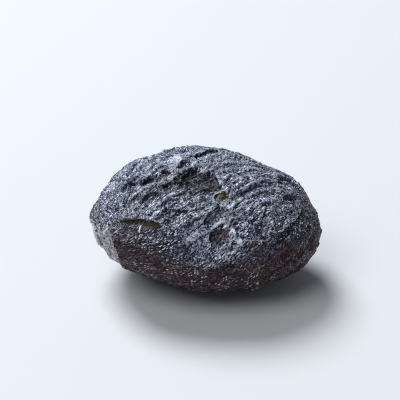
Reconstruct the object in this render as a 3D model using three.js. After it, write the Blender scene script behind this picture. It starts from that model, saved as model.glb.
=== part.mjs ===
// A tektite: one piece of natural glass, a flattened ovoid with a chipped nose at one end and a
// drooping heel at the other, broad furrows that wind round its length, a few deeper hollows, and
// a small worn flat underneath that it rests on.
// Millimetres, +Z up. The origin is under the middle of the stone, on the surface it rests on.
// +X points to the heel, -Y to the face with the deep hollows.
import * as THREE from "three";
import { ImprovedNoise } from "three/addons/math/ImprovedNoise.js";

// Driving dimensions
const LENGTH = 43;
const WIDTH = 31;
const HEIGHT = 25;
const EDGE_SPLITS = 19; // gives 20 * (19 + 1)^2 triangles

// The nose (-X) thins towards its tip and the heel (+X) hangs below the middle.
// Both start at a share of the half length.
const NOSE = { start: 0.6, taper: 0.14 };
const HEEL = { start: 0.05, drop: 2 };

// The flat underneath: what is worn off, and the distance within which the relief dies away
const FLAT = { depth: 0.32, calm: 9 };

// Broad furrows: turn is in radians round the X axis for each millimetre of length.
const FURROW = { turn: 0.045, width: 5.2, stretch: 3.6, depth: 0.5 };

// Swells and dents. A heading runs round Z from the front (-Y) towards +X and a rise is above the
// horizon, both in degrees. Spread is the lobe's half width in degrees, and lift its height.
const SWELLS = {
  heelUnder: { heading: 58, rise: -36, spread: 18, lift: -0.5 },
  frontUnder: { heading: -42, rise: -42, spread: 24, lift: -1.6 },
  noseTop: { heading: -100, rise: 16, spread: 16, lift: -1.1 },
  heelTop: { heading: 98, rise: 9, spread: 12, lift: -0.3 },
  crown: { heading: 176, rise: 62, spread: 13, lift: 0.5 },
  heelShoulder: { heading: 108, rise: 38, spread: 13, lift: 0.6 },
  noseShoulder: { heading: -135, rise: 42, spread: 13, lift: -0.5 },
  backShoulder: { heading: 145, rise: 45, spread: 20, lift: -0.5 },
};

// Breaks that cut a flat across the ovoid. Crown is the share of its bulge that is left.
const BREAKS = {
  noseChip: { heading: -66, rise: -12, cut: 1.5, crown: 0.3 },
  noseBack: { heading: -118, rise: 24, cut: 0.9, crown: 0.45 },
  heelBack: { heading: 122, rise: -22, cut: 1.2, crown: 0.4 },
};

// Hollows. The length runs along the roll, which is measured up from level towards +X on the
// front, and the same way round on the other sides.
const HOLLOWS = {
  twinHollow: { heading: -10, rise: 60, roll: 28, length: 9, width: 6, depth: 1.3 },
  westSaddle: { heading: -48, rise: 42, roll: 26, length: 8, width: 4, depth: 0.7 },
  noseGroove: { heading: -74, rise: 34, roll: 32, length: 6, width: 3, depth: 0.5 },
  slitBed: { heading: -46, rise: 19, roll: -8, length: 9, width: 3.6, depth: 0.8 },
  frontCup: { heading: 13, rise: 17, roll: 35, length: 5, width: 4, depth: 1 },
  backTrough: { heading: 168, rise: 30, roll: 30, length: 12, width: 5, depth: 0.9 },
  backCup: { heading: -150, rise: 5, roll: 20, length: 6, width: 4.5, depth: 0.9 },
  heelCup: { heading: 118, rise: 12, roll: 40, length: 5, width: 3.6, depth: 0.7 },
};

const { degToRad, radToDeg, smoothstep } = THREE.MathUtils;
const UP = new THREE.Vector3(0, 0, 1);
const noise = new ImprovedNoise();

function direction(heading, rise) {
  const [a, e] = [degToRad(heading), degToRad(rise)];
  return new THREE.Vector3(Math.sin(a) * Math.cos(e), -Math.cos(a) * Math.cos(e), Math.sin(e));
}

// The ovoid's surface in one direction from its middle.
function ovoid(unit) {
  const thin = 1 - NOSE.taper * smoothstep(-unit.x, NOSE.start, 1);
  const p = new THREE.Vector3(unit.x, unit.y * thin, unit.z * thin);
  p.multiply(new THREE.Vector3(LENGTH, WIDTH, HEIGHT)).divideScalar(2);
  p.z -= HEEL.drop * smoothstep(unit.x, HEEL.start, 1);
  for (const { heading, rise, spread, lift } of Object.values(SWELLS)) {
    const away = radToDeg(unit.angleTo(direction(heading, rise)));
    p.addScaledVector(unit, lift * Math.exp(-((away / spread) ** 2)));
  }
  return p;
}

// Which way the plain ellipsoid faces at a point.
function outward(p) {
  return new THREE.Vector3(p.x / LENGTH ** 2, p.y / WIDTH ** 2, p.z / HEIGHT ** 2).normalize();
}

// Draws the points that stand past a break's plane back towards it.
function flatten(points, { heading, rise, cut, crown }) {
  const facing = direction(heading, rise);
  const plane = Math.max(...points.map((p) => p.dot(facing))) - cut;
  for (const p of points) {
    const past = Math.max(0, p.dot(facing) - plane);
    p.addScaledVector(facing, -past * (1 - crown));
  }
}

// How deep a hollow is at a point: a bowl on an ellipse that lies on the surface.
function bowl(p, { heading, rise, roll, length, width, depth }) {
  const middle = ovoid(direction(heading, rise));
  const level = UP.clone().cross(outward(middle)).normalize();
  const along = level.clone().applyAxisAngle(outward(middle), degToRad(roll));
  const across = outward(middle).cross(along);
  const away = p.clone().sub(middle);
  const [s, t] = [away.dot(along) / (length / 2), away.dot(across) / (width / 2)];
  return away.dot(outward(middle)) < -width ? 0 : depth * Math.max(0, 1 - s * s - t * t) ** 2;
}

// Furrows drawn out along the turn: the noise is read where the point would lie untwisted.
function furrows(p) {
  const q = p.clone().applyAxisAngle(new THREE.Vector3(1, 0, 0), FURROW.turn * p.x);
  q.x /= FURROW.stretch;
  q.divideScalar(FURROW.width);
  const broad = noise.noise(q.x, q.y, q.z);
  const narrow = noise.noise(2 * q.x, 2 * q.y, 2 * q.z);
  return FURROW.depth * (broad + narrow / 2);
}

// The finished surface points, one for each direction.
function surface(units) {
  const points = units.map(ovoid);
  Object.values(BREAKS).forEach((flat) => flatten(points, flat));
  const floor = Math.min(...points.map((p) => p.z));
  const spot = points.find((p) => p.z === floor).clone();
  for (const p of points) {
    const hollow = Math.max(...Object.values(HOLLOWS).map((shape) => bowl(p, shape)));
    const shown = smoothstep(p.distanceTo(spot), FLAT.calm / 2, FLAT.calm);
    p.addScaledVector(outward(p), (furrows(p) - hollow) * shown);
    p.z = Math.max(p.z, floor + FLAT.depth);
  }
  return points;
}

// Moves and stretches the surface a little, so that its box is the driving dimensions.
function fitToSize(geometry) {
  geometry.computeBoundingBox();
  const { min, max } = geometry.boundingBox;
  geometry.translate(-(min.x + max.x) / 2, -(min.y + max.y) / 2, -min.z);
  geometry.scale(LENGTH / (max.x - min.x), WIDTH / (max.y - min.y), HEIGHT / (max.z - min.z));
}

function makeStone() {
  const geometry = new THREE.IcosahedronGeometry(1, EDGE_SPLITS);
  const position = geometry.getAttribute("position");
  const units = Array.from({ length: position.count }, (_, i) =>
    new THREE.Vector3().fromBufferAttribute(position, i).normalize());
  surface(units).forEach((p, i) => position.setXYZ(i, p.x, p.y, p.z));
  fitToSize(geometry);
  geometry.computeVertexNormals();
  const glass = new THREE.MeshStandardMaterial({ color: 0x2b2d31, roughness: 0.5, metalness: 0 });
  const mesh = new THREE.Mesh(geometry, glass);
  mesh.name = "tektite";
  return mesh;
}

const part = new THREE.Group();
part.add(makeStone());

export default part;
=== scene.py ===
from math import cos, radians, sin, tau

import bpy
from mathutils import Matrix, Vector
from mathutils.bvhtree import BVHTree


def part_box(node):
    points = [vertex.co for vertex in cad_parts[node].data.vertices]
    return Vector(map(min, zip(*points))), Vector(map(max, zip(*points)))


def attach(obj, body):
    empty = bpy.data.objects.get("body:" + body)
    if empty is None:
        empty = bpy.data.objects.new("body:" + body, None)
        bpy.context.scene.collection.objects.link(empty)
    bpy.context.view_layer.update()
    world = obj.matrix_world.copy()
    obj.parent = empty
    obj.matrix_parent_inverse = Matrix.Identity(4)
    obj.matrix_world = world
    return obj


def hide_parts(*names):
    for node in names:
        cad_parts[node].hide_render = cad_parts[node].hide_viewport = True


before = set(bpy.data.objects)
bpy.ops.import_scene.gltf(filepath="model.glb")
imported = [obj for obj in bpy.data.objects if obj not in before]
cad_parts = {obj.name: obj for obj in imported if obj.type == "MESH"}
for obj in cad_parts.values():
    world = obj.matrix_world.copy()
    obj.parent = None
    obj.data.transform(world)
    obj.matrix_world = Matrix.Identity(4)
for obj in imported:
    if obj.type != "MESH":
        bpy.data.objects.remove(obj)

scene = bpy.context.scene
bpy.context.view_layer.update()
low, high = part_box("tektite")
middle = (low + high) / 2
size = high - low
mm = 0.001
print("frame loaded, stone is %.1f x %.1f x %.1f mm" % tuple(size / mm))


# Camera, at the height that the stone is looked down on from the hand
camera = {
    "elevation": 30,
    "distance": 235 * mm,
    "frameWidth": 73.5 * mm,  # what the picture takes in across, at the stone
    "stoneRight": 0.74 * mm,  # where the stone's middle lies from the picture's middle
    "stoneDown": 3.49 * mm,
    "nearest": 10 * mm,
}


def makeCamera(look):
    lens = bpy.data.cameras.new("camera")
    lens.lens = lens.sensor_width * look["distance"] / look["frameWidth"]
    lens.clip_start = look["nearest"]
    body = bpy.data.objects.new("camera", lens)
    scene.collection.objects.link(body)
    tilt = radians(look["elevation"])
    back = Vector((0, -cos(tilt), sin(tilt)))
    up = Vector((0, sin(tilt), cos(tilt)))
    aim = middle + up * look["stoneDown"] - Vector((look["stoneRight"], 0, 0))
    body.location = aim + back * look["distance"]
    body.rotation_euler = back.to_track_quat("Z", "Y").to_euler()
    scene.camera = body


makeCamera(camera)


# Small helpers for node trees. Most add their node to the tree of the sockets that they are given.
def feed(socket, value):
    if isinstance(value, bpy.types.NodeSocket):
        socket.id_data.links.new(value, socket)
    else:
        socket.default_value = value


def addNode(tree, kind, inputs=None, **settings):
    node = tree.nodes.new(kind)
    for name, value in settings.items():
        setattr(node, name, value)
    for name, value in (inputs or {}).items():
        feed(node.inputs[name], value)
    return node


def treeOf(*values):
    return next(value.id_data for value in values if isinstance(value, bpy.types.NodeSocket))


def doMath(operation, *values, clamp=False):
    node = addNode(treeOf(*values), "ShaderNodeMath", operation=operation, use_clamp=clamp)
    for socket, value in zip(node.inputs, values):
        feed(socket, value)
    return node.outputs[0]


def doVector(operation, *values, scale=None):
    node = addNode(treeOf(*values), "ShaderNodeVectorMath", operation=operation)
    for socket, value in zip(node.inputs, values):
        feed(socket, value)
    if scale is not None:
        feed(node.inputs["Scale"], scale)
    single = operation in ("DOT_PRODUCT", "LENGTH", "DISTANCE")
    return node.outputs["Value" if single else "Vector"]


def times(first, second, clamp=False):
    return doMath("MULTIPLY", first, second, clamp=clamp)


def timesPlus(first, second, third):
    return doMath("MULTIPLY_ADD", first, second, third)


def plus(first, second):
    return doMath("ADD", first, second)


def minus(first, second, clamp=False):
    return doMath("SUBTRACT", first, second, clamp=clamp)


def scaled(value, scale):
    return doVector("SCALE", value, scale=scale)


def between(first, second):
    return doVector("SUBTRACT", first, second)


def dot(first, second):
    return doVector("DOT_PRODUCT", first, second)


def split(value):
    return addNode(treeOf(value), "ShaderNodeSeparateXYZ", {"Vector": value}).outputs


def join(**parts):
    return addNode(treeOf(*parts.values()), "ShaderNodeCombineXYZ", parts).outputs["Vector"]


def ramp(value, start, end, first=0.0, last=1.0, smooth=True):
    change = "SMOOTHSTEP" if smooth else "LINEAR"
    node = addNode(treeOf(value), "ShaderNodeMapRange", interpolation_type=change)
    names = ("Value", "From Min", "From Max", "To Min", "To Max")
    for name, amount in zip(names, (value, start, end, first, last)):
        feed(node.inputs[name], amount)
    return node.outputs["Result"]


# The value itself at a share of 0, falling by the whole loss at a share of 1
def fadeBy(value, share, loss):
    return times(value, timesPlus(share, -loss, 1.0))


# A point as its pattern sees it, when the pattern's features are that wide
def shrink(point, width):
    share = doMath("DIVIDE", 1.0, width) if isinstance(width, bpy.types.NodeSocket) else 1.0 / width
    return scaled(point, share)


def noiseAt(point, width, detail=2.0, roughness=0.5):
    inputs = {"Vector": shrink(point, width), "Scale": 1.0, "Detail": detail, "Roughness": roughness}
    return addNode(treeOf(point), "ShaderNodeTexNoise", inputs).outputs


# Noise that swings from -0.5 to 0.5
def swayAt(point, width, detail=2.0, roughness=0.5):
    return minus(noiseAt(point, width, detail, roughness)["Fac"], 0.5)


def cellsAt(point, width):
    seen = shrink(point, width)
    return addNode(treeOf(point), "ShaderNodeTexVoronoi", {"Vector": seen, "Scale": 1.0}).outputs, seen


number = "NodeSocketFloat"
vector = "NodeSocketVector"
shape = "NodeSocketGeometry"
socketFor = {float: number, int: "NodeSocketInt", tuple: vector}


# Each input is given by its usual value, and the geometry by None
def newGroup(name, inputs, outputs):
    tree = bpy.data.node_groups.new(name, "GeometryNodeTree")
    for title, value in inputs.items():
        socketType = socketFor.get(type(value), shape)
        socket = tree.interface.new_socket(name=title, in_out="INPUT", socket_type=socketType)
        if value is not None:
            socket.default_value = value
    for title, socketType in outputs.items():
        tree.interface.new_socket(name=title, in_out="OUTPUT", socket_type=socketType)
    return tree, tree.nodes.new("NodeGroupInput").outputs, tree.nodes.new("NodeGroupOutput")


# The stone. Sizes are in millimetres and angles in degrees. A heading runs round the stone from its
# front towards the heel, a rise is above the level of its middle, and a roll is up from level.
stone = {
    "Detail": 2,  # rounds of splitting, and each makes four faces of one
    "Flow turn": 0.045,  # radians round the length for each millimetre along it
    "Flow sweep": 0.3,  # how far the flow leans back, for each millimetre towards the heel
    "Flow bend": 0.015,  # how much of that lean is lost with each millimetre
    "Flow stretch": 2.2,
    "Flow wander": 1.0,
    "Girth": 14.0,  # radius that the flow pattern is unrolled at
    "Swell width": 3.4,
    "Swell depth": 0.46,
    "Terraces": 11,  # broad ledges, how many there are all the way round
    "Terrace depth": 0.32,
    "Ledges": 36,
    "Ledge depth": 0.15,
    "Scallop width": 1.7,
    "Scallop depth": 0.22,
    "Flake width": 2.0,
    "Flake depth": 0.44,
    "Chip width": 0.6,
    "Chip depth": 0.12,
    "Grain width": 0.4,
    "Grain depth": 0.07,
    "Pit spacing": 2.1,
    "Pit depth": 0.4,
    "Scar depth": 0.4,
    "Underside calm": 0.6,  # how much of the relief is left low down
    "Dusk calm": 0.55,  # how much of it is lost in the duskier patches
    "Fan calm": 0.75,  # and where the listed ledges stand in for it
    "Rest calm": 9.0,  # the relief is calmer within this distance of the flat's middle
}
flowValues = ("Flow turn", "Flow sweep", "Flow bend", "Flow stretch", "Flow wander", "Girth")

# Each lies either at a place and turned by a roll, or between two places as (heading, rise)
hollows = {
    "westHollow": dict(start=(-37, 54), end=(-16, 77), width=3.8, depth=0.7, lean=0.3),
    "westCore": dict(start=(-34, 62), end=(-25, 75), width=2.0, depth=0.6, lean=0.4),
    "midHollow": dict(heading=-14, rise=61, roll=25, length=6.0, width=3.8, depth=0.4, lean=0.2),
    "eastHollow": dict(start=(8, 72), end=(12, 54), width=2.8, depth=0.8, lean=0.2),
    "eastTail": dict(start=(-17, 50), end=(10, 53), width=1.2, depth=0.45, lean=0.2),
    "westTail": dict(heading=-42, rise=52, roll=40, length=3.6, width=1.8, depth=0.4, lean=0.3),
    "notchWest": dict(start=(-62, 66), end=(-76, 78), width=1.8, depth=0.8, lean=0.4),
    "notchMiddle": dict(start=(-110, 83), end=(168, 73), width=2.0, depth=0.8, lean=0.4),
    "notchEast": dict(start=(172, 78), end=(148, 66), width=2.3, depth=0.8, lean=0.3, ragged=2.6),
    "amberPit": dict(heading=18.5, rise=45.5, roll=4, length=2.7, width=2.2, depth=0.9, lean=0.5),
    "longSlit": dict(
        start=(-58, 16.5), end=(-30, 22.5), width=1.5, depth=0.8, lean=0.3, ragged=1.8, blunt=3.0),
    "frontPit": dict(heading=11, rise=17, roll=14, length=3.5, width=3.5, depth=1.15, lean=0.4),
    "frontScallop": dict(start=(1, 27), end=(17, 37), width=2.8, depth=0.5, lean=0.1),
    "sideScallop": dict(heading=27, rise=24, roll=40, length=3.2, width=2.4, depth=0.4, lean=0.1),
    "saddle": dict(start=(-56, 31), end=(-41, 40), width=2.4, depth=0.4, lean=0.3),
    "saddleTop": dict(start=(-50, 44), end=(-38, 50), width=2.0, depth=0.25, lean=0.3),
    "noseDimple": dict(start=(-73, 29), end=(-71, 37), width=2.1, depth=0.6, lean=0.3),
    "shoulderDimple": dict(start=(-67, 40), end=(-66, 51), width=1.9, depth=1.0, lean=0.3),
    "crownDimple": dict(heading=-65, rise=56, roll=30, length=2.0, width=1.8, depth=0.9, lean=0.3),
    "streakShade": dict(start=(-30, 36), end=(-24, 44), width=1.3, depth=0.45, lean=0.2),
    "tipCrevice": dict(start=(-69.5, 9), end=(-71, -4), width=1.0, depth=1.0),
    "heelNotch": dict(start=(68, 25), end=(81, 18), width=2.7, depth=0.65, ragged=1.2),
    "heelShoulder": dict(start=(84, 32), end=(100, 18), width=4.0, depth=0.7),
    "pitCrack": dict(start=(19, 14), end=(21, 11), width=0.9, depth=0.6, lean=0.2),
    "backTrough": dict(heading=168, rise=30, roll=30, length=7.0, width=2.4, depth=0.8, lean=0.3),
    "backPit": dict(heading=-150, rise=5, roll=20, length=3.2, width=2.4, depth=1.0, lean=0.3),
    "heelPit": dict(heading=118, rise=12, roll=40, length=2.6, width=1.9, depth=0.7, lean=0.3),
    "backScallop": dict(heading=-172, rise=-8, roll=44, length=5.0, width=3.2, depth=0.6, lean=0.2),
}

# Knobs and crests stand out where a hollow goes in
knobs = {
    "crownKnob": dict(start=(-100, 62), end=(-75, 72), width=2.6, depth=-0.35),
    "crownCrest": dict(start=(-46, 66), end=(150, 84), width=0.7, depth=-0.2),
    "twinCrest": dict(start=(-20, 63), end=(60, 80), width=0.7, depth=-0.2),
    "shoulderCrest": dict(start=(-59, 33), end=(-56, 50), width=0.9, depth=-0.35),
    "streakCrest": dict(start=(-40, 33), end=(-22, 57), width=0.9, depth=-0.15),
    "pitCrest": dict(start=(5, 24), end=(20, 31), width=0.9, depth=-0.4),
    "pitRing": dict(start=(20, 22), end=(21, 16), width=0.6, depth=-0.5),
    "pitKnob": dict(start=(22.5, 12), end=(25, 15.5), width=1.2, depth=-0.8),
    "pitTrail": dict(start=(16, 3), end=(23, 12), width=0.8, depth=-0.4),
    "fanCrest": dict(start=(-18, 11), end=(-4, 22), width=0.8, depth=-0.35),
    "scarFoot": dict(start=(-66, -12), end=(-58, -9), width=1.6, depth=-0.2),
    "tipFoot": dict(start=(-84, 3), end=(-79, -11), width=2.2, depth=-0.6),
}

# Ledges listed one by one. Each runs between two places, and bows up or down on the way. The stone above
# it stands out by the lift, the stone below falls back, and both fade with the reach.
ledgeColumns = ("start", "end", "bow", "lift", "reach")
ledgeLines = {
    "waist": ((-34, 34), (2, 40), -0.5, 0.3, 1.4),
    "lower": ((-21, 22), (2, 35), 0.1, 0.32, 0.8),
    "fanTop": ((-6, 25), (11, 40), -0.2, 0.32, 0.8),
    "fanRidge": ((-1, 20), (17, 28), 0.1, 0.4, 1.0),
    "fanLow": ((-13, 10), (2, 22), 0.2, 0.42, 1.0),
    "fanStep": ((20, 21), (35, 29), -0.2, 0.3, 0.9),
    "rising": ((-32, 23), (-19, 35), 0.2, 0.3, 1.2),
    "shoulder": ((-63, 27), (-55, 49), 0.2, 0.4, 1.4),
    "streak": ((-39, 32), (-20, 56), 0.1, 0.3, 1.3),
    "pitLip": ((4, 19), (22, 22), 0.5, 0.35, 0.9),
    "scallopRim": ((21, 27), (35, 28), 0.3, 0.3, 1.0),
    "scallopFoot": ((21, 20), (30, 23), -0.2, 0.35, 1.0),
    "amberTrail": ((29, 42), (82, 38), 0.7, 0.3, 1.2),
    "amberRipple": ((21, 36), (61, 38), 0.4, 0.25, 1.1),
    "crownArc": ((60, 60), (93, 42), 0.5, 0.3, 1.3),
    "heelArc": ((46, 32), (68, 25), 0.3, 0.25, 1.3),
    "spotStep": ((30, 33), (44, 38), 0.2, 0.3, 0.9),
    "sideStep": ((38, 20), (52, 30), -0.2, 0.3, 0.9),
    "heelStep": ((49, 12), (80, 14), -0.2, 0.4, 1.7),
    "slitRipple": ((-52, 11), (-30, 15), -0.3, 0.25, 0.9),
    "noseStep": ((-60, 6), (-36, 8), -0.2, 0.3, 1.2),
    "bellyStep": ((-2, -3), (26, 3), -0.3, 0.3, 1.2),
    "backLedge": ((-165, 40), (158, 12), 0.5, 0.4, 1.6),
    "backStep": ((-140, 20), (-172, -4), -0.4, 0.35, 1.4),
}

# Soft patches: a darker grey in the twin hollows and a coarse patch, a darker mauve that is painted shade,
# calm with less relief, and painted shade and painted light that only change how much frost there is
patchColumns = ("start", "end", "width", "share")
patches = {
    # a darker grey, in the twin hollows and in a coarse patch low on the front
    "earth": {
        "west": ((-38, 54), (-14, 74), 4.0, 1.0),
        "east": ((0, 52), (14, 68), 3.6, 1.0),
        "coarse": ((24, 6), (42, 8), 2.8, 0.85),
    },
    # painted shade, tinted mauve
    "dusk": {
        "twin": ((-58, 44), (14, 64), 7.4, 1.0),
        "saddle": ((-61, 28), (-42, 43), 3.2, 0.8),
        "slit": ((-60, 12), (-26, 18), 4.6, 1.0),
        "side": ((34, 18), (60, 18), 4.6, 0.6),
        "heel": ((66, 2), (104, 14), 9.0, 1.0),
        "frontScallop": ((2, 29), (16, 37), 2.2, 0.35),
        "underSlit": ((-62, 4), (-34, 8), 4.0, 1.0),
    },
    # painted shade, each darkening the frost
    "shade": {
        "saddle": ((-58, 34), (-34, 47), 4.8, 1.8),
        "under": ((-51, 37), (-42, 37), 3.2, 2.3),
        "belowArc": ((-24, 43), (14, 43), 3.0, 2.0),
        "low": ((-28, 10), (-10, 12), 3.6, 2.3),
        "facetFoot": ((32, 16), (38, 24), 3.2, 2.0),
        "betweenTwins": ((-14, 52), (-2, 54), 2.6, 1.6),
        "aboveSlit": ((-58, 25), (-38, 31), 2.6, 1.3),
        "belowMiddle": ((-19, 26), (-6, 33), 2.4, 2.2),
        "shoulderDip": ((-72, 31), (-67, 36), 2.6, 1.6),
        "crevice": ((-69.5, 9), (-71, -4), 0.9, 2.5),
        "saddleDip": ((-49, 35), (-44, 37), 1.8, 1.6),
        "streakDip": ((-38, 48), (-34, 51), 2.0, 1.4),
        "bulgeSide": ((-6, 13), (-4, 15), 1.8, 1.3),
        "spotFoot": ((34, 24), (46, 28), 2.6, 1.3),
        "underTwin": ((-14, 56), (6, 46), 2.4, 1.4),
        "farLeft": ((-21, 6), (-19, 14), 2.4, 1.6),
        "crownDip": ((0, 78), (30, 76), 2.6, 1.6),
        "eastOfTwin": ((18, 60), (28, 64), 2.6, 1.4),
        "leftOfMiddle": ((-22, 29), (-18, 39), 3.4, 1.6),
        "outerTop": ((-80, 52), (-72, 60), 2.6, 0.8),
        "heelNotch": ((68, 25), (81, 19), 2.0, 0.5),
        "westHollow": ((-48, 52), (-30, 74), 4.0, 0.7),
        "belowTwin": ((-56, 45), (-32, 49), 2.8, 1.7),
        "nose": ((-77, 28), (-64, 44), 3.8, 2.8),
        "shoulder": ((-72, 43), (-57, 51), 2.8, 0.9),
        "crown": ((-44, 79), (34, 77), 2.8, 0.4),
        "notch": ((-66, 66), (158, 66), 2.2, 1.0),
        "front": ((-34, 4), (-12, 8), 4.4, 1.4),
        "left": ((-23, 10), (-34, 34), 4.6, 0.7),
        "underArc": ((-19, 46), (1, 47), 2.6, 0.8),
        "aboveSpot": ((36, 47), (52, 50), 2.4, 0.9),
        "facet": ((36, 24), (42, 27), 2.0, 0.7),
        "slitFloor": ((-57, 15), (-31, 19), 2.2, 1.9),
        "lowHeel": ((34, 1), (80, 8), 5.4, 1.1),
    },
    "calm": {
        "fan": ((-15, 14), (5, 30), 6.0, 1.0),
    },
    # painted light, each lightening the frost
    "pale": {
        "crown": ((-98, 62), (-72, 71), 3.2, 2.0),
        "westLip": ((-52, 55), (-58, 74), 1.2, 1.6),
        "westRim": ((-50, 54), (-46, 63), 2.4, 2.6),
        "crest": ((-58, 74), (10, 84), 0.9, 1.0),
        "streak": ((-40, 33), (-22, 57), 1.1, 1.0),
        "shoulder": ((-66, 27), (-54, 49), 1.1, 1.0),
        "tip": ((-80, 4), (-72, 24), 6.0, 1.1),
        "leftRim": ((-84, 18), (-96, 34), 2.0, 2.6),
        "noseTop": ((-66, 26), (-60, 30), 2.2, 1.0),
        "noseFoot": ((-72, 10), (-60, 17), 3.4, 1.6),
        "noseSide": ((-75, 10), (-71, 21), 2.2, 1.2),
        "heelTop": ((78, 21), (88, 9), 3.2, 1.0),
        "heelRim": ((66, 21), (80, 14), 1.0, 1.6),
        "ripple": ((-52, 10), (-28, 15), 1.6, 1.5),
        "bulge": ((-14, 17), (0, 21), 3.4, 1.7),
        "bulgeFoot": ((-6, 7), (4, 7), 2.2, 1.2),
        "underFan": ((1, 19), (7, 24), 2.2, 1.8),
        "besidePit": ((16, 8), (18, 14), 1.8, 2.2),
        "lowFront": ((6, -3), (12, 0), 2.0, 1.8),
        "slitEnd": ((-62, 7), (-59, 16), 3.0, 2.8),
        "crownTop": ((130, 75), (100, 70), 2.4, 1.4),
        "twinLip": ((-60, 40), (-54, 45), 1.6, 1.4),
        "heelSide": ((77, 13), (83, 9), 2.8, 2.2),
        "front": ((8, 4), (20, 28), 7.0, 1.0),
        "middle": ((9, 24), (20, 38), 5.2, 1.9),
        "pitCrest": ((6, 24), (20, 31), 1.2, 2.8),
        "eastOfPit": ((22, 30), (33, 37), 3.2, 2.2),
        "dimpleGap": ((-70, 37), (-60, 38), 1.6, 1.6),
        "flashFoot": ((-42, 27), (-38, 32), 1.8, 1.0),
        "bulgeTop": ((-15, 22), (-10, 25), 1.8, 1.0),
        "spot": ((33, 37), (42, 39), 3.0, 2.6),
        "side": ((37, 16), (54, 20), 3.6, 1.5),
        "arcSpot": ((-11, 44), (-6, 46), 2.2, 1.8),
        "amberFoot": ((14, 37), (34, 41), 2.8, 1.2),
        "facetFace": ((25, 24), (30, 30), 2.6, 1.8),
        "heelCrown": ((84, 38), (94, 36), 2.4, 1.2),
        "heel": ((58, 28), (94, 22), 4.6, 0.6),
        "pitTrail": ((17, 3), (24, 13), 1.4, 1.0),
        "pitSide": ((22, 20), (25, 9), 2.0, 1.4),
        "flash": ((-40, 33), (-37, 37), 1.4, 3.0),
        "ridge": ((-58, 35), (-56, 47), 1.2, 3.0),
        "lowerArc": ((21, 37), (61, 38), 0.9, 1.0),
        "heelEdge": ((50, 14), (81, 13), 1.1, 1.0),
    },
}

scar = {
    "facing": (-77, -14),
    "distance": 17.1,  # from the stone's middle to where the scar starts
    "ragged": 0.9,
    "edge": (-0.1, 0.25),
    "calm": 0.45,  # how much of the relief is lost on it
}

# Values of the carving that seldom change, in millimetres where they are sizes
carving = {
    "mergeWithin": 0.01,
    "restMiddle": (2.7, 0.2, 0.0),  # the middle of the flat that the stone rests on
    "restShare": 0.6,  # the relief starts to come back at this share of the calm distance
    "underside": (4.0, 14.0),  # it is full again above the second of these heights
    "wander": ((9.0, 2.4), (3.4, 1.0), (1.3, 0.35)),  # widths and reaches of the flow's wandering
    "least": 3.0,  # the flow isn't spread out further inside this radius
    "follow": 0.3,  # how far the listed features follow that wandering
    "tatterWidth": 1.1,  # the raggedness of its outline, and how strong it is
    "ragged": 2.0,
    "raggedLedge": 0.9,
    "patchEdge": (1.5, 0.0),  # a patch fades in from the first share of its rim to the second
    "farSide": (-3.0, -6.0, 0.0, 9.0),  # keeps it off the far side of the stone
    "upperSide": (-1.0, 0.3),  # a hollow's lower side passes into its upper side
    "wallStart": (1.4, 1.1),  # its wall's top at the two sides, as a share of its rim
    "wallEnd": (0.2, 0.75),  # and the wall's foot
    "lowerDepth": 0.25,  # how deep it is at its lower side
    "ledgeEnds": (-0.02, 0.2),  # a ledge fades in at each end, in shares of its length
    "ledgeBelow": (-5.0, -3.0),  # and keeps off the far side too
    "ledgeEdge": 0.12,
    "edgeThin": 4.0,  # the painted highlight above it and the painted shadow below it are thinner when this is higher
    "ends": (14.5, 18.5),  # the flow's patterns give way to free ones between these lengths
    "stepWidths": {"Terrace": 7.0, "Ledge": 3.2},  # how wide the pattern is that each wanders by
    "stepSway": 3.4,  # how many steps a ledge wanders up or down
    "stepEdge": 0.14,
    "stepPatch": 1.3,  # the patches in which it comes and goes, in shares of that width
    "stepShown": (0.36, 0.58),
    "stepMiddle": 0.35,
    "cupHeight": 1.3,
    "cupMiddle": 0.45,
    "pitSize": (0.34, 0.12),
    "pitChance": (0.5, 0.9),
    "chipSpread": 0.6,  # how far the chips are read off the flow
    "standing": {"crest": (4, 0.05), "brow": (60, 0.35)},  # rounds of blur, and the height for 1
}


def aimAt(heading, rise):
    side, lift = radians(heading), radians(rise)
    return Vector((sin(side) * cos(lift), -cos(side) * cos(lift), sin(lift)))


def bakeDown(piece):
    bpy.context.view_layer.update()
    graph = bpy.context.evaluated_depsgraph_get()
    finished = bpy.data.meshes.new_from_object(piece.evaluated_get(graph), depsgraph=graph)
    piece.modifiers.clear()
    piece.data = finished


def copyOfCad(node):
    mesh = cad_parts[node].data.copy()
    mesh.materials.clear()
    piece = bpy.data.objects.new("stone", mesh)
    scene.collection.objects.link(piece)
    piece.modifiers.new("merge", "WELD").merge_threshold = carving["mergeWithin"] * mm
    bakeDown(piece)
    return piece


# Where a direction from the middle meets the stone, and which way the surface lies there
def meet(surface, aim):
    spot, facing, _, _ = surface.ray_cast(middle + aim, -aim)
    return spot, (facing + aim).normalized()


# Where a feature lies on the stone, as the inputs that its group takes
def settle(surface, look):
    if "start" in look:
        start, end = (meet(surface, aimAt(*look[side]))[0] for side in ("start", "end"))
        spot, facing = meet(surface, ((start + end) / 2 - middle).normalized())
        along, length = (end - start).normalized(), (end - start).length / mm
    else:
        spot, facing = meet(surface, aimAt(look["heading"], look["rise"]))
        level = Vector((0, 0, 1)).cross(facing).normalized()
        along, length = Matrix.Rotation(radians(look["roll"]), 3, facing) @ level, look["length"]
    across = facing.cross(along).normalized()
    return {"Place": spot / mm, "Along": along, "Across": across, "Length": length}


# What the group of any listed feature takes
placeInputs = {
    "Point": (0, 0, 0),
    "Ragged": 0.0,
    "Place": (0, 0, 0),
    "Along": (1, 0, 0),
    "Across": (0, 0, 1),
    "Length": 4.0,
}


# How far a point is from a feature's place: along it, across it and out of the stone
def fromPlace(given):
    away = between(given["Point"], given["Place"])
    outward = doVector("CROSS_PRODUCT", given["Along"], given["Across"])
    ways = (given["Along"], given["Across"], outward)
    return [dot(away, way) for way in ways], outward


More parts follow.
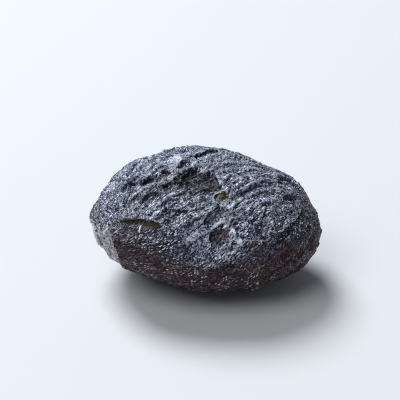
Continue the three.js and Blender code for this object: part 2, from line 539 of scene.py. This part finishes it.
# One hollow: a ragged bowl that is steep at its upper side, where its floor slides in under the lip.
# The chart is its own map: along it from -1 to 1, up it from -1 to 1, and 1 at the rim.
def hollowGroup():
    inputs = {**placeInputs, "Width": 2.0, "Depth": 1.0, "Lean": 0.0, "Blunt": 2.0}
    outputs = {"Push": vector, "Deep": number, "Chart": vector}
    tree, given, result = newGroup("Hollow", inputs, outputs)
    (along, across, above), outward = fromPlace(given)
    along = doMath("DIVIDE", along, doMath("DIVIDE", given["Length"], 2.0))
    across = doMath("DIVIDE", across, doMath("DIVIDE", given["Width"], 2.0))
    rim = doMath("POWER", doMath("ABSOLUTE", along), given["Blunt"])
    rim = timesPlus(across, across, rim)
    rim = plus(rim, given["Ragged"])
    rim = plus(rim, ramp(above, *carving["farSide"]))
    upper = ramp(across, *carving["upperSide"])
    top, foot = (ramp(upper, 0.0, 1.0, *carving[name]) for name in ("wallStart", "wallEnd"))
    lowest = carving["lowerDepth"]
    deep = timesPlus(upper, 1 - lowest, lowest)
    deep = times(ramp(rim, top, foot), deep)
    deep = times(deep, given["Depth"])
    path = between(scaled(given["Across"], given["Lean"]), outward)
    feed(result.inputs["Push"], scaled(path, deep))
    feed(result.inputs["Deep"], doMath("ABSOLUTE", deep))
    feed(result.inputs["Chart"], join(X=along, Y=across, Z=rim))
    return tree


# One ledge along a line. The edge is 1 just above the line, -1 just below it, and 0 further off; it paints
# a highlight just above the line and a shadow just below it.
def ledgeGroup():
    inputs = {**placeInputs, "Bow": 0.2, "Lift": 0.3, "Reach": 1.2}
    tree, given, result = newGroup("Ledge", inputs, {"Rise": number, "Edge": number})
    (along, across, above), _ = fromPlace(given)
    share = plus(doMath("DIVIDE", along, given["Length"]), 0.5)
    left = minus(1.0, share)
    arch = times(left, times(share, 4.0))  # 1 at the middle
    off = minus(across, given["Ragged"])
    off = minus(off, times(arch, given["Bow"]))
    shown = times(ramp(share, *carving["ledgeEnds"]), ramp(left, *carving["ledgeEnds"]))
    shown = times(shown, ramp(above, *carving["ledgeBelow"]))
    side = ramp(off, -carving["ledgeEdge"], carving["ledgeEdge"], -1.0, 1.0)
    far = doMath("DIVIDE", doMath("ABSOLUTE", off), given["Reach"])
    fade = doMath("POWER", minus(1.0, far, clamp=True), 2.0)
    rise = times(times(side, fade), shown)
    feed(result.inputs["Rise"], times(rise, given["Lift"]))
    feed(result.inputs["Edge"], times(rise, doMath("POWER", fade, carving["edgeThin"])))
    return tree


# Points unrolled along the flow, so that a pattern read there winds round the stone
def flowGroup():
    inputs = {"Point": (0, 0, 0), **{title: stone[title] for title in flowValues}}
    outputs = {"Flow": vector, "Wandered": vector, "Round": number}
    tree, given, result = newGroup("Flow", inputs, outputs)
    point = given["Point"]
    for width, share in carving["wander"]:
        drift = noiseAt(given["Point"], width, detail=1.0)["Color"]
        drift = between(drift, (0.5, 0.5, 0.5))
        reach = times(given["Flow wander"], share)
        point = doVector("ADD", point, scaled(drift, reach))
    along = split(point)["X"]
    lean = minus(given["Flow sweep"], times(along, given["Flow bend"]))
    back = times(times(along, lean), -1.0)
    axis = (0, 0, middle.z / mm)
    spin = {
        "Vector": doVector("ADD", point, join(Y=back)),
        "Center": axis,
        "Angle": times(along, given["Flow turn"]),
    }
    spun = addNode(tree, "ShaderNodeVectorRotate", spin, rotation_type="X_AXIS").outputs["Vector"]
    parts = split(between(spun, axis))
    section = join(Y=parts["Y"], Z=parts["Z"])
    radius = doMath("MAXIMUM", doVector("LENGTH", section), carving["least"])
    flow = scaled(section, doMath("DIVIDE", given["Girth"], radius))
    drawn = join(X=doMath("DIVIDE", parts["X"], given["Flow stretch"]))
    turned = doMath("ARCTAN2", parts["Z"], times(parts["Y"], -1.0))
    feed(result.inputs["Flow"], doVector("ADD", flow, drawn))
    feed(result.inputs["Wandered"], point)
    feed(result.inputs["Round"], doMath("DIVIDE", turned, tau))
    return tree


# Cups that meet in sharp crests: 0 at the bottom of a cup, up to about 1 on the crests
def cups(point, width):
    cells, _ = cellsAt(point, width)
    return times(doMath("POWER", cells["Distance"], 2.0), carving["cupHeight"])


# Ragged ledges: each stands out sharply at its lower edge and fades upwards, and comes and goes
def ledges(flow, turned, count, width):
    sway = swayAt(flow, width, detail=4.0, roughness=0.62)
    step = timesPlus(sway, carving["stepSway"], times(turned, count))
    rise = doMath("FRACT", step)
    height = times(ramp(rise, 0.0, carving["stepEdge"]), minus(1.0, rise))
    patchy = noiseAt(flow, width * carving["stepPatch"], detail=1.0)["Fac"]
    shown = ramp(patchy, *carving["stepShown"])
    return times(minus(height, carving["stepMiddle"]), shown)


# Facets tilted at random, as on broken glass, from -1 to 1
def facets(point, width):
    cells, seen = cellsAt(point, width)
    away = between(seen, cells["Position"])
    lean = between(cells["Color"], (0.5, 0.5, 0.5))
    return times(dot(away, lean), 2.0)


# The skin's swells, flakes and scallops, read at a point that may follow the flow
def skinAt(given, where):
    swell = swayAt(where, given["Swell width"], roughness=0.55)
    relief = times(swell, times(given["Swell depth"], 2.0))
    flake = facets(where, given["Flake width"])
    relief = timesPlus(flake, given["Flake depth"], relief)
    scallop = minus(cups(where, given["Scallop width"]), carving["cupMiddle"])
    return timesPlus(scallop, given["Scallop depth"], relief)


# Places every feature of one kind with its group, and gives each one's title, values and outputs
def placeAll(group, places, surface, point, tatter, ragged=carving["ragged"]):
    tree = treeOf(point)
    names = [socket.name for socket in group.interface.items_tree]
    for title, look in places.items():
        inputs = {name: look[name.lower()] for name in names if name.lower() in look}
        inputs.update(settle(surface, look))
        inputs["Point"] = point
        inputs["Ragged"] = times(tatter, look.get("ragged", ragged))
        yield title, look, addNode(tree, "GeometryNodeGroup", inputs, node_tree=group, label=title).outputs


# Passes the geometry through one more node
def through(geometry, kind, inputs=None, **settings):
    inputs = {"Geometry": geometry, **(inputs or {})}
    return addNode(treeOf(geometry), kind, inputs, **settings).outputs["Geometry"]


def shiftBy(geometry, offset):
    return through(geometry, "GeometryNodeSetPosition", {"Offset": offset})


def keep(geometry, name, value, kind="FLOAT"):
    inputs = {"Name": name, "Value": value}
    return through(geometry, "GeometryNodeStoreNamedAttribute", inputs, data_type=kind)


def stoneTree(surface, finish):
    tree, given, result = newGroup("Stone relief", {"Geometry": None, **stone}, {"Geometry": shape})
    tree.is_modifier = True
    rough = {"Mesh": given["Geometry"], "Level": given["Detail"]}
    geometry = addNode(tree, "GeometryNodeSubdivisionSurface", rough).outputs["Mesh"]
    position = tree.nodes.new("GeometryNodeInputPosition").outputs["Position"]
    normal = tree.nodes.new("GeometryNodeInputNormal").outputs["Normal"]
    point = scaled(position, 1 / mm)
    along, height = (split(point)[axis] for axis in "XZ")
    flowInputs = {"Point": point, **{title: given[title] for title in flowValues}}
    unrolled = addNode(tree, "GeometryNodeGroup", flowInputs, node_tree=flowGroup()).outputs
    flow, wandered = unrolled["Flow"], unrolled["Wandered"]
    geometry = keep(geometry, "flow", flow, "FLOAT_VECTOR")

    fromRest = doVector("DISTANCE", point, carving["restMiddle"])
    inner = times(given["Rest calm"], carving["restShare"])
    rested = ramp(fromRest, inner, given["Rest calm"])
    strength = ramp(height, *carving["underside"], given["Underside calm"], 1.0)
    strength = times(rested, strength)

    # the listed hollows, knobs, patches and ledges
    tatter = swayAt(point, carving["tatterWidth"], detail=3.0, roughness=0.65)
    drift = between(wandered, point)
    strayed = doVector("ADD", point, scaled(drift, carving["follow"]))
    hollowTree, ledgeTree = hollowGroup(), ledgeGroup()
    push = (0, 0, 0)
    for kind, places in (("hollow", hollows), ("knob", knobs)):
        deepest = 0.0
        for title, _, made in placeAll(hollowTree, places, surface, strayed, tatter):
            push = doVector("ADD", push, made["Push"])
            deepest = doMath("MAXIMUM", deepest, made["Deep"])
            if kind == "hollow" and title in stainsAndShade:
                geometry = keep(geometry, title, made["Chart"], "FLOAT_VECTOR")
        geometry = keep(geometry, kind, deepest)
    spread = {}
    for kind, rows in patches.items():
        spread[kind] = 0.0
        places = {title: dict(zip(patchColumns, row)) for title, row in rows.items()}
        for _, look, made in placeAll(hollowTree, places, surface, strayed, tatter):
            shown = ramp(split(made["Chart"])["Z"], *carving["patchEdge"], 0.0, look["share"])
            spread[kind] = doMath("MAXIMUM", spread[kind], shown)
        geometry = keep(geometry, kind, spread[kind])
    stepped, ledgeLightAndShade = 0.0, 0.0
    places = {title: dict(zip(ledgeColumns, row)) for title, row in ledgeLines.items()}
    for _, _, made in placeAll(ledgeTree, places, surface, strayed, tatter, carving["raggedLedge"]):
        stepped = plus(stepped, made["Rise"])
        ledgeLightAndShade = plus(ledgeLightAndShade, made["Edge"])
    # a painted highlight just above each ledge and a painted shadow just below it
    geometry = keep(geometry, "edge", ledgeLightAndShade)

    # the scar on the nose, where the rough skin ends at a crisp edge
    fromMiddle = between(point, middle / mm)
    beyond = dot(fromMiddle, aimAt(*scar["facing"]))
    beyond = minus(beyond, scar["distance"])
    beyond = timesPlus(tatter, scar["ragged"], beyond)
    scarred = ramp(beyond, *scar["edge"])
    geometry = keep(geometry, "scar", scarred)
    strength = fadeBy(strength, scarred, scar["calm"])

    # The patterns of the skin. At the two ends, where the flow would bunch up, they are read without
    # it and its terraces and ledges fade.
    flowing, free = (skinAt(given, where) for where in (flow, wandered))
    for title, width in carving["stepWidths"].items():
        step = ledges(flow, unrolled["Round"], given[title + "s"], width)
        flowing = timesPlus(step, given[title + " depth"], flowing)
    atEnds = ramp(doMath("ABSOLUTE", along), *carving["ends"])
    relief = timesPlus(minus(free, flowing), atEnds, flowing)
    cells, _ = cellsAt(wandered, given["Pit spacing"])
    pit = ramp(cells["Distance"], *carving["pitSize"])
    chance = ramp(split(cells["Color"])["X"], *carving["pitChance"])
    pit = times(pit, chance)
    geometry = keep(geometry, "pit", pit)
    relief = minus(relief, times(pit, given["Pit depth"]))
    calm = times(spread["dusk"], given["Dusk calm"], clamp=True)
    calm = doMath("MAXIMUM", calm, times(spread["calm"], given["Fan calm"]))
    relief = timesPlus(relief, minus(1.0, calm), stepped)
    relief = times(relief, strength)
    relief = minus(relief, times(scarred, given["Scar depth"]))
    offset = doVector("ADD", push, scaled(normal, relief))
    geometry = shiftBy(geometry, scaled(offset, mm))

    # chips and grain, raised along the new surface
    chipped = doVector("ADD", flow, scaled(wandered, carving["chipSpread"]))
    fine = times(facets(chipped, given["Chip width"]), given["Chip depth"])
    grain = swayAt(point, given["Grain width"], detail=1.0)
    fine = timesPlus(grain, times(given["Grain depth"], 2.0), fine)
    fine = times(times(fine, rested), mm)
    geometry = shiftBy(geometry, scaled(normal, fine))

    # how far each point stands out of its surroundings, close round it and further off
    for title, (rounds, span) in carving["standing"].items():
        around = addNode(
            tree, "GeometryNodeBlurAttribute", {"Iterations": rounds}, data_type="FLOAT_VECTOR")
        feed(next(s for s in around.inputs if s.name == "Value" and s.enabled), point)
        blurred = next(s for s in around.outputs if s.enabled)
        out = dot(between(point, blurred), normal)
        geometry = keep(geometry, title, doMath("DIVIDE", out, span))

    # nothing hangs below the surface that it rests on
    dip = doMath("MAXIMUM", times(height, -mm), 0.0)
    geometry = shiftBy(geometry, join(Z=dip))
    geometry = through(geometry, "GeometryNodeSetShadeSmooth")
    geometry = through(geometry, "GeometryNodeRealizeInstances")
    geometry = through(geometry, "GeometryNodeSetMaterial", {"Material": finish})
    feed(result.inputs["Geometry"], geometry)
    return tree


# The finish: black glass, frosted where it stands out and a darker grey in the deepest hollows, with
# painted glints, painted light on what stands out and painted shade in the hollows, the creases and low
# down
glass = {
    "black": (0.009, 0.011, 0.033, 1),
    "frost": (0.61, 0.655, 0.77, 1),
    "frostLow": (0.62, 0.655, 0.82, 1),
    "frostHeights": (22.0, 14.0),  # the frost turns bluer on the way down from the first to the second, a painted bluish reflection
    # a painted highlight, which the brightest glints turn to
    "sparkle": (0.92, 0.93, 0.97, 1),
    "sparkleShare": 0.8,
    # the colours of the painted shade in the dusk patches, tinted mauve
    "duskDark": (0.014, 0.012, 0.019, 1),
    "duskLight": (0.50, 0.49, 0.58, 1),
    # the colours of the darker grey patches
    "earthDark": (0.012, 0.012, 0.013, 1),
    "earthLight": (0.25, 0.25, 0.255, 1),
    # the painted shade of the underside, with a painted reddish reflection
    "bellyShadeDark": (0.026, 0.009, 0.013, 1),
    "bellyShadeLight": (0.43, 0.36, 0.39, 1),
    "scarDark": (0.045, 0.040, 0.046, 1),
    "scarLight": (0.78, 0.75, 0.80, 1),
    "base": 0.332,  # how much frost there is before anything lifts it
    # painted shade: the frost is thinner from the first height down to the second
    "sideHeights": (21.0, 14.0),
    "dustWidth": 0.22,  # a grain that is all a little lighter or darker
    "dustHeights": (24.0, 19.0, 0.75, 1.0),  # it is softer on the crown
    "dustOffScar": 0.35,
    "sides": (17.0, 13.0),  # specks and streaks follow the flow inside these lengths
    "speckDraw": 1.2,  # below the flow's stretch the specks are drawn out along it
    "speckHeights": (24.0, 14.0, 0.7, 1.75),  # they are stronger further down the sides
    "speckPatch": 2.4,
    "speckPatchy": (0.38, 0.62, 0.35, 1.65),  # how much they come and go in patches
    "speckEdge": 0.4,
    "speckRare": 0.2,
    "glintWidth": 0.35,  # painted glints: bright specks apart from each other, and how large and bright each may be
    "glintShare": 0.7,
    "glintReach": 0.48,
    "glintFrost": 1.0,
    "glintLow": 0.15,  # what is left of them in the painted shade of the underside, and in the darker grey patches
    "glintGreyPatch": (0.0, 0.8, 1.0, 0.45),
    "glintOffScar": 0.6,
    "glintOffDusk": 0.4,
    "poreWidth": 0.38,  # dark specks, in the same way
    "poreShare": 0.7,
    "poreReach": 0.5,
    "streakWidth": 0.5,  # thin crests drawn out along the flow
    "streakDraw": 0.5,
    "streakThin": 8.0,
    "streakBump": 0.35,
    "patchWidth": 0.9,  # broader changes of the frost
    "cloudWidth": 2.6,
    "facetWidth": 0.34,
    "facetBump": 0.35,
    "bumpHeight": 0.25,
    "sheen": 0.2,
    "shineWidth": 0.5,
    "shine": (0.3, 0.7, 0.22, 0.45),
    "bareSlope": -0.8,  # bare glass on the scar, below the crevice that parts it from the tip
    "bareLine": (30.0, 29.2),
    "tipScar": 0.4,  # how much of the scar's colour the tip has
}

# Where the painted shade low down comes in, between two heights: darker and maroon, painted shade with a
# painted reddish reflection over a little of the glass's own brown. Each shift runs from one length to
# another, and is how much higher the skin counts past it. The last three shift its edge as well.
bellyShade = {
    "heights": (14.4, 10.0),
    "shifts": ((-1.0, -11.0, -2.9), (5.0, 14.0, -1.8), (15.0, 21.0, 0.8)),
    "behind": (-4.0, 4.0),
    "driftWidth": 6.0,
    "drift": 14.0,
    "cloud": 3.0,
    "patch": 4.0,
    "scar": 9.0,
}

# How much each thing lightens or darkens the frost
frostLift = {
    "dust": 1.0,
    "pore": -0.6,
    "wisp": 0.3,
    "patch": 0.14,
    "cloud": 0.35,
    # partly frost worn off what stands out, partly painted shade where it lies back
    "crest": 0.05,
    "brow": 0.08,
    # less frost, and painted shade, in the hollows and the small pits
    "hollow": -0.3,
    "pit": -0.2,
    # painted light on the knobs and crests
    "knob": 0.5,
    # the ledges' painted highlight above and painted shadow below
    "edge": 0.5,
    # the darker grey patches
    "earth": -0.2,
    # painted shade in the dusk patches
    "dusk": -0.12,
    # painted shade and painted light from the patches
    "shade": -0.14,
    "pale": 0.13,
    # painted shade low down and on the underside
    "bellyShade": -0.33,
    # painted shade, darker towards the bottom
    "side": -0.06,
    "bare": 0.34,
    "flaw": 1.2,
}

# Stains in three of the hollows, with painted shade: the floor's near-black is painted shade, and the
# side's colour runs up the heel side. The turn is where the floor's colour gives way to the side's, and
# the foot is where the stain ends below.
stainsAndShade = {
    "longSlit": dict(
        floor=(0.026, 0.022, 0.017, 1), side=(0.070, 0.054, 0.032, 1),
        turn=-0.4, foot=-0.6, mottle=1.3),
    "amberPit": dict(
        floor=(0.050, 0.043, 0.055, 1), side=(0.12, 0.11, 0.05, 1),
        turn=-0.2, foot=-0.9, mottle=0.5),
    "frontPit": dict(
        floor=(0.036, 0.037, 0.042, 1), side=(0.28, 0.21, 0.22, 1),
        turn=0.55, foot=-0.6, mottle=0.5),
}

# Single marks drawn on the skin, some of them painted highlights and a painted shadow
markColumns = ("start", "end", "width", "share", "colour")
marks = {
    "tick": ((-44, 19.5), (-42.4, 15.5), 0.26, 1.0, (0.85, 0.83, 0.86, 1)),
    "scratch": ((26, 15), (39, 11), 0.16, 0.4, (0.75, 0.75, 0.80, 1)),
    "rust": ((34, -3), (35.5, -9), 0.5, 0.5, (0.20, 0.12, 0.05, 1)),
    "rustSpot": ((34.5, -10.5), (35.6, -10.5), 0.6, 0.9, (0.34, 0.20, 0.07, 1)),
    "rustFoot": ((35, -13.5), (35.8, -13.5), 0.35, 0.8, (0.36, 0.33, 0.28, 1)),
    "slitLip": ((-57, 18.5), (-49, 22.3), 0.5, 0.6, (0.34, 0.30, 0.26, 1)),
    "amberLip": ((13, 50), (27, 50.3), 0.34, 0.75, (0.50, 0.46, 0.36, 1)),
    "pitLip": ((7, 21), (21, 23.5), 0.5, 0.6, (0.33, 0.31, 0.29, 1)),
    # painted highlights on the front pit's rim, foot and knob
    "pitRing": ((20.2, 21.5), (21.2, 17), 0.34, 0.8, (0.72, 0.75, 0.80, 1)),
    "pitFoot": ((17.8, 16.4), (18.6, 14.6), 0.6, 0.6, (0.66, 0.74, 0.78, 1)),
    "pitKnob": ((22.8, 14), (24.6, 16), 0.8, 0.7, (0.74, 0.74, 0.79, 1)),
    # painted shadow in the crevice under the crown's back edge
    "notch": ((178, 81), (150, 68), 1.7, 0.6, (0.024, 0.026, 0.034, 1)),
}

# How stains with their painted shade, and marks, are drawn, in shares of their own size
brush = {
    "grain": (1.4, 0.3),  # a stain and its painted shade are speckled by the dust, and by the painted glints
    "glint": 2.0,
    "ragged": 0.6,
    "rim": (1.4, 1.0),
    "turn": 0.9,
    "foot": 0.6,
    "stainAndShade": 0.85,
    "markBeyond": (3.0, 2.0),  # millimetres past its end, where a mark is cut off
    "markRagged": 0.8,
    "markEdge": (0.6, 0.4),
}


def attribute(tree, name, output="Fac"):
    return addNode(tree, "ShaderNodeAttribute", attribute_name=name).outputs[output]


def mixColour(share, first, second):
    node = addNode(treeOf(share), "ShaderNodeMix", data_type="RGBA", clamp_factor=True)
    feed(node.inputs[0], share)
    feed(node.inputs[6], first)  # its two colour sockets
    feed(node.inputs[7], second)
    return node.outputs[2]


# Stains one hollow and paints shade on its floor, by its own chart. Its colours are speckled by the grain,
# as the stone's are.
def stainAndShade(colour, grain, speckle, title):
    look = stainsAndShade[title]
    chart = split(attribute(treeOf(colour), title, "Vector"))
    turned = timesPlus(speckle, brush["turn"], chart["X"])
    turned = ramp(turned, look["turn"], look["turn"] + brush["turn"])
    inside = mixColour(turned, look["floor"], look["side"])
    inside = scaled(inside, grain)
    mottled = timesPlus(speckle, look["mottle"], chart["Y"])
    shown = ramp(mottled, look["foot"], look["foot"] + brush["foot"])
    ragged = timesPlus(speckle, brush["ragged"], chart["Z"])
    shown = times(shown, ramp(ragged, *brush["rim"]))
    return mixColour(times(shown, brush["stainAndShade"]), colour, inside)


# Draws one mark, between its two places on the stone
def mark(colour, point, ragged, surface, look):
    where = settle(surface, look)
    away = between(point, where["Place"])
    start, end = (where["Length"] + beyond for beyond in brush["markBeyond"])
    inside = ramp(doVector("LENGTH", away), start, end)
    outer, inner = brush["markEdge"]
    for axis, extent in (("Along", where["Length"]), ("Across", look["width"])):
        far = doMath("ABSOLUTE", dot(away, where[axis]))
        far = timesPlus(ragged, extent * brush["markRagged"], far)
        inside = times(inside, ramp(far, extent * outer, extent * inner))
    return mixColour(times(inside, look["share"]), colour, look["colour"])


# Specks that lie apart from each other, and how strong each is
def specksAt(point, title):
    cells, _ = cellsAt(point, glass[title + "Width"])
    share, reach = glass[title + "Share"], glass[title + "Reach"]
    speck = ramp(cells["Distance"], reach, reach * glass["speckEdge"])
    chosen = ramp(split(cells["Color"])["X"], share, share * glass["speckRare"])
    return times(speck, chosen)


# How far the painted shade of the underside, with its painted reddish reflection, has come in
def bellyShadeAt(point, found):
    parts = split(point)
    level = parts["Z"]
    for start, end, shift in bellyShade["shifts"]:
        level = timesPlus(ramp(parts["X"], start, end), shift, level)
    for name in ("cloud", "patch", "scar"):
        level = timesPlus(found[name], bellyShade[name], level)
    drift = swayAt(point, bellyShade["driftWidth"])
    drift = times(drift, ramp(parts["Y"], *bellyShade["behind"]))
    level = timesPlus(drift, bellyShade["drift"], level)
    return ramp(level, *bellyShade["heights"])


def etchedGlass(surface):
    finish = bpy.data.materials.new("etched tektite glass")
    finish.use_nodes = True
    tree = finish.node_tree
    tree.nodes.clear()
    place = tree.nodes.new("ShaderNodeTexCoord").outputs["Object"]
    point = scaled(place, 1 / mm)
    along, height = (split(point)[axis] for axis in "XZ")
    flow = attribute(tree, "flow", "Vector")
    found = {name: attribute(tree, name) for name in ("scar", "dusk", "earth")}

    # a fine grain
    cells, _ = cellsAt(point, glass["dustWidth"])
    dust = split(cells["Color"])
    found["dust"] = minus(dust["X"], 0.5)
    found["dust"] = times(found["dust"], ramp(height, *glass["dustHeights"]))
    found["dust"] = fadeBy(found["dust"], found["scar"], glass["dustOffScar"])

    # streaks that follow the flow
    atSides = ramp(doMath("ABSOLUTE", along), *glass["sides"])
    drawn = doVector("MULTIPLY", flow, (glass["streakDraw"], 1.0, 1.0))
    streak = noiseAt(drawn, glass["streakWidth"], detail=3.0, roughness=0.6)["Fac"]
    streak = doMath("ABSOLUTE", timesPlus(streak, 2.0, -1.0))
    streak = minus(1.0, streak)
    wisp = doMath("POWER", streak, glass["streakThin"])
    found["wisp"] = times(wisp, atSides)

    # painted glints, and dark specks
    patchy = ramp(noiseAt(flow, glass["speckPatch"])["Fac"], *glass["speckPatchy"])
    patchy = times(patchy, ramp(height, *glass["speckHeights"]))
    drawn = doVector("MULTIPLY", flow, (glass["speckDraw"], 1.0, 1.0))
    atEnds = minus(1.0, atSides)
    for title in ("glint", "pore"):
        beside = times(specksAt(drawn, title), atSides)
        beyond = times(specksAt(point, title), atEnds)
        found[title] = times(doMath("MAXIMUM", beside, beyond), patchy)

    # broader changes
    found["patch"] = swayAt(point, glass["patchWidth"], detail=3.0, roughness=0.7)
    found["cloud"] = swayAt(point, glass["cloudWidth"], detail=3.0, roughness=0.6)
    found["bellyShade"] = bellyShadeAt(point, found)
    found["side"] = ramp(height, *glass["sideHeights"])
    bare = timesPlus(along, glass["bareSlope"], height)
    found["bare"] = times(found["scar"], ramp(bare, *glass["bareLine"]))
    found["flaw"] = times(found["bare"], found["patch"])

    # the frost
    lift = glass["base"]
    for name, share in frostLift.items():
        amount = found[name] if name in found else attribute(tree, name)
        lift = timesPlus(amount, share, lift)
    frost = doMath("POWER", ramp(lift, 0.0, 1.0, smooth=False), 2.0)
    glintLow = times(patchy, glass["glintLow"])
    glinting = ramp(found["bellyShade"], 0.0, 1.0, glass["glintFrost"], glintLow)
    glinting = times(glinting, ramp(found["earth"], *glass["glintGreyPatch"]))
    glinting = fadeBy(glinting, found["scar"], glass["glintOffScar"])
    glinting = fadeBy(glinting, found["dusk"], glass["glintOffDusk"])
    # painted glints lift the frost to their own brightness
    glint = times(found["glint"], glinting)
    frost = doMath("MAXIMUM", frost, glint)

    # its colours, the stains with their painted shade, and the marks, some of them painted highlights and
    # a painted shadow
    tip = times(found["scar"], glass["tipScar"])
    found["scar"] = doMath("MAXIMUM", found["bare"], tip)
    dark = glass["black"]
    # the frost bluer lower down, a painted bluish reflection
    light = mixColour(ramp(height, *glass["frostHeights"]), glass["frost"], glass["frostLow"])
    # the darker grey patches, the painted shade of the dusk patches and of the underside, and the scar's
    # colour
    for kind in ("dusk", "earth", "bellyShade", "scar"):
        dark = mixColour(found[kind], dark, glass[kind + "Dark"])
        light = mixColour(found[kind], light, glass[kind + "Light"])
    colour = mixColour(frost, dark, light)
    # painted highlight: the brightest glints turn nearly white
    shining = doMath("POWER", times(glint, glass["sparkleShare"]), 2.0)
    colour = mixColour(shining, colour, glass["sparkle"])
    grain = timesPlus(dust["X"], *brush["grain"])
    grain = timesPlus(glint, brush["glint"], grain)
    for title in stainsAndShade:
        colour = stainAndShade(colour, grain, dust["Y"], title)
    for row in marks.values():
        look = dict(zip(markColumns, row))
        colour = mark(colour, point, found["patch"], surface, look)

    rough = ramp(noiseAt(point, glass["shineWidth"])["Fac"], *glass["shine"], smooth=False)
    raised = times(facets(point, glass["facetWidth"]), glass["facetBump"])
    crest = times(streak, atSides)
    raised = timesPlus(crest, glass["streakBump"], raised)
    bump = addNode(tree, "ShaderNodeBump", {"Distance": glass["bumpHeight"] * mm, "Height": raised})
    inputs = {
        "Base Color": colour,
        "Roughness": rough,
        "Normal": bump.outputs["Normal"],
        "IOR": 1.5,
        "Specular IOR Level": glass["sheen"],
    }
    shader = addNode(tree, "ShaderNodeBsdfPrincipled", inputs)
    out = addNode(tree, "ShaderNodeOutputMaterial")
    feed(out.inputs["Surface"], shader.outputs["BSDF"])
    return finish


def makeStone():
    piece = copyOfCad("tektite")
    surface = BVHTree.FromObject(piece, bpy.context.evaluated_depsgraph_get())
    tool = piece.modifiers.new("relief", "NODES")
    tool.node_group = stoneTree(surface, etchedGlass(surface))
    for socket in tool.node_group.interface.items_tree:
        if socket.name in stone:
            tool[socket.identifier] = stone[socket.name]
    bakeDown(piece)
    print("stone: %d faces" % len(piece.data.polygons))
    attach(piece, "root")
    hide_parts("tektite")


makeStone()


# Plain pale floor and soft studio light
studio = {
    "floorSize": 3.0,
    "floorColour": (0.66, 0.66, 0.66, 1),
    "world": (0.80, 0.88, 1.0, 1),
    "worldStrength": 0.17,
}

lamps = {
    "window": dict(heading=-145, rise=56, distance=1.2, size=0.6, power=17, colour=(0.88, 0.93, 1.0)),
    "fill": dict(heading=-50, rise=55, distance=1.2, size=0.8, power=6.0, colour=(0.95, 0.97, 1.0)),
}


def makeFloor():
    half = studio["floorSize"] / 2
    corners = [(-half, -half, 0), (half, -half, 0), (half, half, 0), (-half, half, 0)]
    mesh = bpy.data.meshes.new("floor")
    mesh.from_pydata(corners, [], [(0, 1, 2, 3)])
    paint = bpy.data.materials.new("floor paint")
    paint.use_nodes = True
    shader = paint.node_tree.nodes["Principled BSDF"]
    shader.inputs["Base Color"].default_value = studio["floorColour"]
    shader.inputs["Roughness"].default_value = 0.8
    mesh.materials.append(paint)
    floor = bpy.data.objects.new("floor", mesh)
    scene.collection.objects.link(floor)


def makeLamp(name, look):
    light = bpy.data.lights.new(name, "AREA")
    light.shape = "DISK"
    light.size = look["size"]
    light.energy = look["power"]
    light.color = look["colour"]
    lamp = bpy.data.objects.new(name, light)
    aim = aimAt(look["heading"], look["rise"])
    lamp.location = middle + aim * look["distance"]
    lamp.rotation_euler = aim.to_track_quat("Z", "Y").to_euler()
    scene.collection.objects.link(lamp)


def makeWorld():
    world = bpy.data.worlds.new("studio")
    world.use_nodes = True
    sky = world.node_tree.nodes["Background"]
    sky.inputs["Color"].default_value = studio["world"]
    sky.inputs["Strength"].default_value = studio["worldStrength"]
    scene.world = world


makeFloor()
makeWorld()
for name, look in lamps.items():
    makeLamp(name, look)
scene.view_settings.view_transform = "Standard"
scene.cycles.filter_width = 1.0  # a crisp lens, so that the grain stays sharp
scene.cycles.denoising_prefilter = "NONE"  # keeps the finest grain of the stone
print("studio lit")
